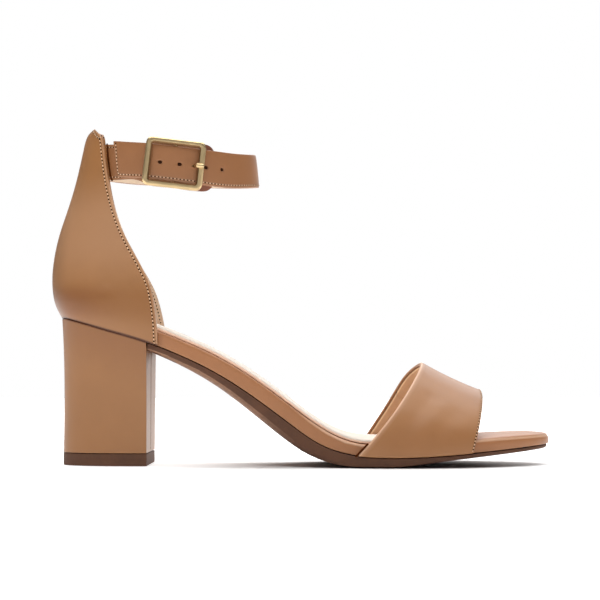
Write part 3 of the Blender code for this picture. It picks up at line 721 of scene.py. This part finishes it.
counter = copy_solid("counter", "closed_back", counter_leather, lining)
counter_rim = rim_path(counter, away_from_ankle, COUNTER_LEAN, lambda cut: cut.z > CUT_FACES_DOWN)
counter_foot = rim_path(counter, away_from_ankle, COUNTER_LEAN, lambda cut: cut.z < CUT_FACES_DOWN)
round_edges(counter, 0.7, 3, 28)
soften(counter, 2)
measure_edge(counter, "edge_mm", counter_rim)
measure_edge(counter, "seam_mm", counter_foot)
measure_edge(heel, "seam_mm", counter_foot)
press(counter, (-102.5, -29, 89.0), (-96.0, -29, 89.3), (0, 0.55, 0), 0.9)
press(counter, (-104.0, -29, 84.5), (-93.0, -29, 85.2), (0, 0.25, 0), 2.2)
paint_faces(counter, 1, lambda at, facing: facing.dot(away_from_ankle(at)) < INSIDE_LEAN)
settle(counter, "tan_leather", "counter")
print("sewn rim of the counter:", len(counter_rim), "points, its foot:", len(counter_foot), "points")

# %% [markdown]
# ## The toe band
# The vamp is a wide arch of lined leather. Its front edge is cut and sewn close to the edge, and its
# back edge is turned over. Two very soft troughs show where the band bends with the toes.

# %% The toe band
TOE_AXIS = Vector((0, 3 * MM, 8 * MM))
VAMP_LEAN = 0.6  # an outer face leans outwards by more
CUT_FACES_ALONG = 0.5


def away_from_toes(point):
    return Vector((0, point.y - TOE_AXIS.y, point.z - TOE_AXIS.z)).normalized()


vamp = copy_solid("vamp", "toe_band", vamp_leather, vamp_lining)
vamp_front, vamp_back = [
    rim_path(vamp, away_from_toes, VAMP_LEAN,
             lambda cut: cut.x * way > CUT_FACES_ALONG and cut.z > CUT_FACES_DOWN)
    for way in (1, -1)]
round_edges(vamp, 0.95, 4)
soften(vamp, 2)
measure_edge(vamp, "edge_mm", vamp_front)
measure_edge(vamp, "fold_mm", vamp_back)
press(vamp, (47, -43, 14), (62, -32, 33), (0, 0.45, -0.15), 5.0)
press(vamp, (60, -43, 11), (74, -34, 26), (0, 0.35, -0.10), 4.5)
paint_faces(vamp, 1, lambda at, facing: facing.dot(away_from_toes(at)) < INSIDE_LEAN)
settle(vamp, "tan_leather", "vamp")
print("edges of the toe band:", len(vamp_front), "and", len(vamp_back), "points")

# %% [markdown]
# ## The two straps
# A real strap is cut flat, punched and then bent round the ankle, and so is this one. A grid gets the
# strap's length and width, holes are opened by bevelling single points into small rings, and then a
# table of places round the ankle oval wraps it. Solidify gives the thickness and a lining inside.

# %% Places round the ankle
OVAL_X = -64.7
OVAL_LENGTH = 41.3
OVAL_WIDTH = 27.0
STRAP_THICKNESS = 2.0
CROWN = 0.3  # the strap's edges are skived thinner than its middle

# angle, height, lift from the oval, lean and half width at each place
LONG_STRAP = np.array([
    (-125, 149.4, 2.4, 0, 8.8), (-118, 148.8, 2.6, 0, 8.8), (-104, 147.8, 4.2, 0, 8.7),
    (-85, 146.1, 4.2, 0, 8.6), (-70, 144.9, 4.2, 0, 8.7), (-57, 144.2, 2.7, 1, 8.8),
    (-42, 144.2, 0.6, 3, 8.7), (-30, 144.7, 0, 4, 8.5), (0, 146.3, 0, 6, 8.4),
    (45, 148.5, 0, 4, 8.6), (90, 150.5, 0, 0, 8.6), (126, 151.4, 0, 0, 8.6),
    (140, 151.7, -0.3, 5, 8.5), (157, 152, -0.5, 7, 8.4)])
UNDER_STRAP = np.array([
    (-145, 149, -1.4, 0, 8.7), (-126, 148, 0, 0, 8.7), (-107, 147, 0, 0, 8.7),
    (-101, 146.7, 0, 0, 10.6), (-96, 146.4, 0, 0, 10.9), (-84, 145.7, 0, 0, 11.1),
    (-75, 145.2, 0, 0, 11.5), (-58, 144.7, 0, 0, 11.5)])


def curve_at(table, column, angle):
    """Value of a column at an angle, on a smooth curve through the table."""
    keys, values = table[:, 0], table[:, column]
    slopes = np.gradient(values, keys)
    angle = min(max(angle, keys[0]), keys[-1])
    low = int(np.clip(np.searchsorted(keys, angle) - 1, 0, len(keys) - 2))
    span = keys[low + 1] - keys[low]
    t = (angle - keys[low]) / span
    start = values[low] * (1 + 2 * t) * (1 - t) ** 2 + slopes[low] * span * t * (1 - t) ** 2
    return start + values[low + 1] * t * t * (3 - 2 * t) - slopes[low + 1] * span * t * t * (1 - t)


def oval_place(table, angle):
    turn = radians(angle)
    outwards = Vector((OVAL_WIDTH * cos(turn), OVAL_LENGTH * sin(turn), 0)).normalized()
    height, lift = curve_at(table, 1, angle), curve_at(table, 2, angle)
    point = Vector((OVAL_X + OVAL_LENGTH * cos(turn), OVAL_WIDTH * sin(turn), height))
    return point + outwards * lift, outwards


def strap_place(table, angle):
    """Middle of the strap's inner face, with its upright, outward and forward directions."""
    point, outwards = oval_place(table, angle)
    forward = (oval_place(table, angle + 0.5)[0] - oval_place(table, angle - 0.5)[0]).normalized()
    upright = outwards.cross(forward).normalized()
    outwards = forward.cross(upright)
    lean = radians(curve_at(table, 3, angle))
    return (point, upright * cos(lean) - outwards * sin(lean),
            outwards * cos(lean) + upright * sin(lean), forward)


print("the long strap turns", LONG_STRAP[-1, 0] - LONG_STRAP[0, 0], "degrees round the ankle")

# %% [markdown]
# The tip of the long strap is cut at a slant, and the under strap ends in a tab with round corners. A
# function for each says how high the strap is and how far it leans forward at a given angle.

# %% The ends of the straps
TIP_SLANT = 0.24
TIP_SPREAD = 12.0
TAB_CORNER = 5.0


def strap_arc(table, start, end):
    spots = [strap_place(table, angle)[0] for angle in np.linspace(start, end, 20)]
    return sum((second - first).length for first, second in zip(spots, spots[1:]))


def slanted_tip(angle, half_width):
    return half_width, -TIP_SLANT * max(0, 1 - (angle - LONG_STRAP[0, 0]) / TIP_SPREAD)


def round_tab(angle, half_width):
    left = strap_arc(UNDER_STRAP, angle, UNDER_STRAP[-1, 0]) if angle < UNDER_STRAP[-1, 0] else 0
    if left >= TAB_CORNER:
        return half_width, 0
    return half_width - TAB_CORNER + sqrt(TAB_CORNER ** 2 - (TAB_CORNER - left) ** 2), 0


def strap_spot(table, end, angle, height, depth):
    """A point of a strap: height is a share of its half width, depth is out from its inner face."""
    point, upright, outwards, forward = strap_place(table, angle)
    half_width, slant = end(angle, curve_at(table, 4, angle))
    rise = height * half_width
    return (point + upright * rise + outwards * depth + forward * slant * rise) * MM


def outer_spot(table, end, angle, height):
    """A point of a strap's outer face."""
    return strap_spot(table, end, angle, height, STRAP_THICKNESS - CROWN * height ** 4)


print("long strap", round(strap_arc(LONG_STRAP, LONG_STRAP[0, 0], LONG_STRAP[-1, 0])), "mm")

# %% Cut, punch and wrap a strap
STRAP_ROWS = 10


def cut_strap(name, table, end, columns, holes, materials):
    """Wraps a flat grid round the ankle; columns are its angles and holes are angle and radius."""
    length = strap_arc(table, columns[0], columns[-1]) * MM
    width = 2 * table[0, 4] * MM
    bpy.ops.mesh.primitive_grid_add(x_subdivisions=len(columns) - 1, y_subdivisions=STRAP_ROWS, size=1)
    piece = bpy.context.object
    piece.name = piece.data.name = name
    for material in materials:
        piece.data.materials.append(material)
    bpy.ops.object.mode_set(mode="EDIT")
    bpy.ops.transform.resize(value=(length, width, 1))
    cell = length / (len(columns) - 1)
    for angle, radius in holes:
        column = int(np.argmin(np.abs(np.array(columns) - angle)))
        at = Vector((column * cell - length / 2, 0, 0))
        choose(piece, vertices=lambda vertex: (vertex.co - at).length < 0.3 * cell)
        bpy.ops.mesh.bevel(offset=radius * MM, segments=2, affect="VERTICES")
        for vertex in bmesh.from_edit_mesh(piece.data).verts:
            if vertex.select:
                vertex.co = at + (vertex.co - at).normalized() * radius * MM
        bpy.ops.mesh.delete(type="ONLY_FACE")
    bpy.ops.object.mode_set(mode="OBJECT")
    for vertex in piece.data.vertices:
        angle = np.interp(vertex.co.x / cell + (len(columns) - 1) / 2, range(len(columns)), columns)
        height = 2 * vertex.co.y / width
        vertex.co = outer_spot(table, end, angle, height)
    apply_modifier(
        piece, "SOLIDIFY", thickness=(STRAP_THICKNESS - CROWN / 2) * MM, offset=-1, material_offset=1)
    round_edges(piece, 0.4, 2, 55)
    soften(piece, 1)
    return piece


# %% The long strap
LONG_COLUMN_COUNT = 111
HOLES_X = (-67.7, -58.7, -51.0, -45.5, -38.3)
PRONG_HOLE = 2
HOLE_RADIUS = 0.9
PRONG_HOLE_RADIUS = 0.75

near_side = np.linspace(LONG_STRAP[0, 0], 0, 500)
outer_x = [strap_spot(LONG_STRAP, slanted_tip, angle, 0, STRAP_THICKNESS).x / MM for angle in near_side]
hole_angles = np.interp(HOLES_X, outer_x, near_side)
long_columns = np.linspace(LONG_STRAP[0, 0], LONG_STRAP[-1, 0], LONG_COLUMN_COUNT)
for angle in hole_angles:
    long_columns[np.argmin(np.abs(long_columns - angle))] = angle
long_holes = [(angle, HOLE_RADIUS) for angle in hole_angles]
long_holes[PRONG_HOLE] = (hole_angles[PRONG_HOLE], PRONG_HOLE_RADIUS)
long_strap = cut_strap(
    "long_strap", LONG_STRAP, slanted_tip, long_columns, long_holes, (strap_leather, strap_lining))
strap_low_edge = [strap_spot(LONG_STRAP, slanted_tip, angle, -1, STRAP_THICKNESS)
                  for angle in long_columns]
strap_tip_edge = [strap_spot(LONG_STRAP, slanted_tip, long_columns[0], height, STRAP_THICKNESS)
                  for height in np.linspace(-1, 1, 12)]
measure_edge(long_strap, "edge_mm", strap_low_edge, strap_tip_edge)
settle(long_strap, "strap_leather", "ankle_strap")

# %% The under strap
UNDER_COLUMN_COUNT = 41
TAB_CLOSENESS = 1.7  # draws the columns together towards the round corners
TAB_START = -50 * MM  # the tab's end beyond the buckle is painted darker, as painted shade under the buckle

shares = 1 - (1 - np.linspace(0, 1, UNDER_COLUMN_COUNT)) ** TAB_CLOSENESS
under_columns = UNDER_STRAP[0, 0] + (UNDER_STRAP[-1, 0] - UNDER_STRAP[0, 0]) * shares
under_strap = cut_strap(
    "under_strap", UNDER_STRAP, round_tab, under_columns, [],
    (strap_leather, strap_lining, tab_shade_leather))
paint_faces(under_strap, 2, lambda at, facing: at.x > TAB_START)
under_edges = [[strap_spot(UNDER_STRAP, round_tab, angle, side, STRAP_THICKNESS)
                for angle in under_columns] for side in (-1, 1)]
measure_edge(under_strap, "edge_mm", *under_edges)
settle(under_strap, "strap_leather", "buckle_strap")

# %% [markdown]
# ## The buckle
# The brass frame and its prong keep the solids' forms. A small bevel on each edge gives the thin bright
# lines that make cast metal look real. The frame's inner sides look at its window, where the strap
# keeps the light away, so they get the shaded brass.

# %% The buckle
FACES_FRONT = 0.85  # a face that looks out of the frame by less is one of its sides
FACES_WINDOW = 0.35

buckle = copy_solid("buckle_frame", "brass_frame", brass, shaded_brass)
window = sum((vertex.co for vertex in buckle.data.vertices), Vector()) / len(buckle.data.vertices)
round_edges(buckle, 0.22, 2, 30)
bpy.ops.object.shade_smooth_by_angle(angle=radians(35))
paint_faces(buckle, 1, lambda at, facing: (
    abs(facing.y) < FACES_FRONT and facing.dot((window - at).normalized()) > FACES_WINDOW))
settle(buckle, "buckle_brass", "buckle_frame")

prong = copy_solid("buckle_prong", "brass_prong", brass)
round_edges(prong, 0.25, 2)
soften(prong, 2)
settle(prong, "buckle_brass", "buckle_prong")

# %% [markdown]
# ## Rows of stitches
# Each sewn edge shows short threads between dark needle holes. One thread is a small sphere of forty
# faces, stretched to a capsule, and one hole is a flatter dark one, painted shade where a real hole
# looks dark. Hundreds of copies are placed along a path on the leather and joined to one mesh for each
# row, which is quick to build and to render.

# %% One thread and one needle hole
def plain_thread(name, colour, gloss=0.4):
    finish = Finish(name)
    twist = finish.noise(2600.0)
    body = finish.mix(twist, tone(colour, 0.8), tone(colour, 1.15))
    finish.dress(
        Base_Color=body, Roughness=0.6 + twist * 0.2, Specular_IOR_Level=gloss,
        Normal=finish.bump(twist, 0.03 * MM, 0.6))
    return finish.material


tan_thread = plain_thread("tan_thread", (0.80, 0.53, 0.33))
pale_thread = plain_thread("pale_thread", (0.70, 0.46, 0.29))
# the needle holes are dark beads: painted shade where a real hole looks dark
needle_hole = plain_thread("needle_hole", (0.035, 0.012, 0.005), gloss=0.05)

bpy.ops.mesh.primitive_uv_sphere_add(segments=8, ring_count=5, radius=1)
bead = bpy.context.object
BEAD_POINTS = np.array([vertex.co for vertex in bead.data.vertices])
BEAD_FACES = [tuple(face.vertices) for face in bead.data.polygons]
bpy.data.objects.remove(bead)
print("one bead has", len(BEAD_FACES), "faces")

# %% Sew a row
THREAD_SLANT = radians(8)


def join_beads(name, beads, materials, slot):
    """One mesh of stretched beads; each has a place, a lengthways and an outward direction, its half
    length, half width and half height in millimetres, and the number of its material."""
    points, faces, kinds = [], [], []
    for index, (place, lengthways, outwards, size, kind) in enumerate(beads):
        axes = np.array([lengthways, outwards.cross(lengthways), outwards])
        points.append(BEAD_POINTS * np.array(size) * MM @ axes + np.array(place))
        faces += [[corner + index * len(BEAD_POINTS) for corner in face] for face in BEAD_FACES]
        kinds += [kind] * len(BEAD_FACES)
    mesh = bpy.data.meshes.new(name)
    mesh.from_pydata(np.concatenate(points).tolist(), [], faces)
    row = new_piece(name, mesh, materials)
    mesh.polygons.foreach_set("material_index", kinds)
    bpy.ops.object.shade_smooth()
    settle(row, slot)


def sew(name, spots, thread, thread_size, hole_size, slot):
    """A row of threads with a needle hole between each two; spots are places with normals."""
    beads = []
    for (place, normal), (following, next_normal) in zip(spots, spots[1:]):
        out = (normal + next_normal).normalized()
        forward = following - place
        forward = (forward - out * forward.dot(out)).normalized()
        lay = forward * cos(THREAD_SLANT) + out.cross(forward) * sin(THREAD_SLANT)
        beads.append(((place + following) / 2, lay, out, thread_size, 0))
        beads.append((place, forward, out, hole_size, 1))
    join_beads(name, beads, (thread, needle_hole), slot)


def skin(piece):
    """The piece's surface, ready to be asked for its nearest point."""
    return BVHTree.FromPolygons(
        [vertex.co for vertex in piece.data.vertices], [face.vertices for face in piece.data.polygons])


def set_in(tree, path, inset, outwards):
    """A path on a surface, set in from its rim by the step that stays closer to the surface."""
    path = thread_out(path, 1.0 * MM)
    steps = [second - first for first, second in zip(path, path[1:])]
    ways = [outwards(spot).cross(step).normalized() for spot, step in zip(path, steps + steps[-1:])]
    tries = [[tree.find_nearest(spot + way * side * inset * MM) for spot, way in zip(path, ways)]
             for side in (-1, 1)]
    return [found[0] for found in min(tries, key=lambda row: sum(found[3] for found in row))]


def lay_on(tree, path, pitch):
    """Evenly spaced places along a path, on a surface and with its normals."""
    return [tree.find_nearest(spot)[:2] for spot in thread_out(path, pitch * MM)]


# %% Sew the counter
COUNTER_PITCH = 1.8
COUNTER_WALL = 2.0
PAST_WALL = 2.2  # from the outer face through the wall, just beyond the lining
COUNTER_THREAD, COUNTER_HOLE = (0.55, 0.3, 0.18), (0.44, 0.42, 0.14)
LINING_THREAD, LINING_HOLE = (0.6, 0.24, 0.16), (0.42, 0.36, 0.09)

tree = skin(counter)
spots = lay_on(tree, set_in(tree, counter_rim, COUNTER_INSET, away_from_ankle), COUNTER_PITCH)
sew("counter_stitches", spots, tan_thread, COUNTER_THREAD, COUNTER_HOLE, "tan_leather")
inner = [tree.find_nearest(place - normal * PAST_WALL * MM)[:2] for place, normal in spots]
sew("counter_inner_stitches", inner, tan_thread, LINING_THREAD, LINING_HOLE, "tan_leather")

# %% [markdown]
# Hardly any light gets into the joint where the closed back lies on the under strap. A row of small
# dark beads lies on the strap there.

# %% Shade the overlap of the counter and the under strap
OVERLAP_STEP = 0.6
OVERLAP_BEAD = (OVERLAP_STEP, 0.45, 0.35)
OVERLAP_REACH = 2.0 * MM

tree = skin(under_strap)
spots = thread_out(counter_rim, OVERLAP_STEP * MM)
beads = []
for first, second in zip(spots, spots[1:]):
    found, normal, _, gap = tree.find_nearest(first - away_from_ankle(first) * COUNTER_WALL * MM)
    if gap < OVERLAP_REACH:
        beads.append((found, (second - first).normalized(), normal, OVERLAP_BEAD, 0))
join_beads("overlap_shade", beads, (seam_shade,), "tan_leather")

# %% Sew the toe band
VAMP_PITCH = 1.65
VAMP_THREAD, VAMP_HOLE = (0.48, 0.32, 0.2), (0.42, 0.4, 0.14)

tree = skin(vamp)
spots = lay_on(tree, set_in(tree, vamp_front, VAMP_INSET, away_from_toes), VAMP_PITCH)
sew("toe_band_stitches", spots, tan_thread, VAMP_THREAD, VAMP_HOLE, "tan_leather")

# %% [markdown]
# A narrow slit opens where the toe band's back edge meets the footbed. It is shaded in the same way.

# %% Shade the slit behind the toe band
SLIT_LENGTH = 8 * MM
SLIT_STEP = 0.6
SLIT_BEAD = (SLIT_STEP, 0.5, 0.5)
SLIT_BEHIND = Vector((0.5 * MM, 0, 0))
SLIT_INSIDE = 0.6 * MM

# the beads are painted shade in the slit
spots = thread_out(vamp_back if vamp_back[0].y < 0 else vamp_back[::-1], SLIT_STEP * MM)
beads = []
for first, second in zip(spots, spots[1:]):
    side = away_from_toes(first)
    if (first - spots[0]).length < SLIT_LENGTH:
        middle = first - SLIT_BEHIND - side * SLIT_INSIDE
        beads.append((middle, (second - first).normalized(), side, SLIT_BEAD, 0))
join_beads("toe_band_slit_shade", beads, (seam_shade,), "tan_leather")

# %% [markdown]
# The long strap is sewn along its tip and its lower edge, and the under strap along both edges as far
# as it shows. The rows follow the straps' own tables.

# %% Sew the straps
STRAP_PITCH = 1.75
STRAP_THREAD, STRAP_HOLE = (0.5, 0.3, 0.2), (0.38, 0.33, 0.14)
TIP_MARGIN = 1.2  # degrees from the cut tip
END_MARGIN = 1
BEHIND_BUCKLE = -112  # the under strap's rows end under the long strap


def sew_strap(name, piece, table, end, row):
    """Sews a row through angles and heights on a strap's outer face."""
    path = [outer_spot(table, end, angle, height) for angle, height in row]
    spots = lay_on(skin(piece), path, STRAP_PITCH)
    sew(name, spots, pale_thread, STRAP_THREAD, STRAP_HOLE, "strap_leather")


inset_share = 1 - STRAP_INSET / LONG_STRAP[0, 4]
tip_angle, last_angle = LONG_STRAP[0, 0] + TIP_MARGIN, LONG_STRAP[-1, 0] - END_MARGIN
low_row = [(angle, -inset_share) for angle in np.linspace(tip_angle, last_angle, 120)]
tip_row = [(tip_angle, height) for height in np.linspace(inset_share, -inset_share, 16)]
sew_strap("long_strap_stitches", long_strap, LONG_STRAP, slanted_tip, tip_row + low_row[1:])
for side, word in ((1, "upper"), (-1, "lower")):
    row = [(angle, side * inset_share)
           for angle in np.linspace(UNDER_STRAP[0, 0] + END_MARGIN, BEHIND_BUCKLE, 30)]
    sew_strap(f"under_strap_{word}_stitches", under_strap, UNDER_STRAP, round_tab, row)

# %% [markdown]
# The punched holes look black on a real strap, because little light gets into them. Here one dark bead
# closes each hole half way through the leather.

# %% Darken the holes
HOLE_BEAD = (1.5, 1.5, 0.5)

beads = []
for angle in hole_angles:
    _, upright, outwards, _ = strap_place(LONG_STRAP, angle)
    middle = strap_spot(LONG_STRAP, slanted_tip, angle, 0, STRAP_THICKNESS / 2)
    beads.append((middle, upright, outwards, HOLE_BEAD, 0))
del beads[PRONG_HOLE]
join_beads("hole_shades", beads, (needle_hole,), "strap_leather")

# %% [markdown]
# ## The studio
# The photograph has a pure white ground with only thin contact shadows. A large soft light hangs over
# the shoe, weaker ones stand in front and behind, and the floor glows a little so that it stays white
# beside the shadows. The world is white as a background. As a light it is dim, and brighter only from
# behind the shoe, away from the heel's side.

# %% The floor
NEAR_GLOW = 0.55
FAR_GLOW = 0.45
NEAR_SPAN = (0.045, 0.125)  # metres from where the ball rests
FAR_SPAN = (0.25, 1.2)
BALL_REST = (0.04, -0.03, 0)
PAPER_GREY, PAPER_WHITE = (0.93, 0.93, 0.93, 1), (0.96, 0.96, 0.96, 1)

bpy.ops.mesh.primitive_plane_add(size=6, location=(0, 0, -0.1 * MM))
floor = bpy.context.object
floor.name = "floor"
bpy.ops.object.transform_apply(location=True)
paper = Finish("white_paper")
weave = paper.noise(300.0, 3.0)
away = paper.node(
    "ShaderNodeVectorMath", {"operation": "DISTANCE"}, {0: paper.place, 1: BALL_REST}, "Value")
glow = paper.ease(away, *NEAR_SPAN) * NEAR_GLOW + paper.ease(away, *FAR_SPAN) * FAR_GLOW
paper.dress(
    Base_Color=paper.mix(weave, PAPER_GREY, PAPER_WHITE), Roughness=0.9,
    Emission_Color=paper.mix(glow, (0, 0, 0, 1), (1, 1, 1, 1)), Emission_Strength=1.0)
floor.data.materials.append(paper.material)

# %% The lights
def soft_light(name, location, aim, size, watts):
    light = bpy.data.lights.new(name, "AREA")
    light.shape = "RECTANGLE"
    light.size, light.size_y = size
    light.energy = watts
    lamp = bpy.data.objects.new(name, light)
    bpy.context.collection.objects.link(lamp)
    lamp.location = location
    lamp.rotation_euler = (Vector(aim) - Vector(location)).to_track_quat("-Z", "Y").to_euler()


soft_light("overhead", (0.0, 0.4, 1.7), (0, 0, 0.05), (2.2, 1.2), 34)
soft_light("back_panel", (0.45, 1.3, 0.9), (0, 0, 0.05), (1.0, 0.6), 4)
soft_light("front_panel", (-0.1, -1.0, 1.5), (0, 0, 0.06), (1.4, 0.6), 12)

# %% The white room
FRONT_LIGHT = 0.13
BACK_LIGHT = 1.1
BACK_SPAN = (0.5, 0.97)  # how far back a way points where the light starts, and where it is full
HEEL_SPAN = (-0.5, -0.1)  # the same for ways that point less and less to the heel's side

world = bpy.data.worlds.new("studio")
bpy.context.scene.world = world
world.use_nodes = True
nodes, links = world.node_tree.nodes, world.node_tree.links


def spread(socket, span, low=0.0, high=1.0):
    """Spreads the values in a span evenly from low to high."""
    node = nodes.new("ShaderNodeMapRange")
    for name, value in zip(("From Min", "From Max", "To Min", "To Max"), (*span, low, high)):
        node.inputs[name].default_value = value
    links.new(socket, node.inputs["Value"])
    return node.outputs["Result"]


way = nodes.new("ShaderNodeSeparateXYZ")
links.new(nodes.new("ShaderNodeTexCoord").outputs["Generated"], way.inputs["Vector"])
both = nodes.new("ShaderNodeMath")
both.operation = "MULTIPLY"
links.new(spread(way.outputs["Y"], BACK_SPAN), both.inputs[0])
links.new(spread(way.outputs["X"], HEEL_SPAN), both.inputs[1])
seen = nodes.new("ShaderNodeMix")
seen.inputs["B"].default_value = 1.0
links.new(nodes.new("ShaderNodeLightPath").outputs["Is Camera Ray"], seen.inputs["Factor"])
links.new(spread(both.outputs["Value"], (0.0, 1.0), FRONT_LIGHT, BACK_LIGHT), seen.inputs["A"])
ground = nodes["Background"]
links.new(seen.outputs["Result"], ground.inputs["Strength"])
ground.inputs["Color"].default_value = (1, 1, 1, 1)
bpy.context.scene.view_settings.view_transform = "Standard"
print("world light from", FRONT_LIGHT, "in front to", BACK_LIGHT, "behind")
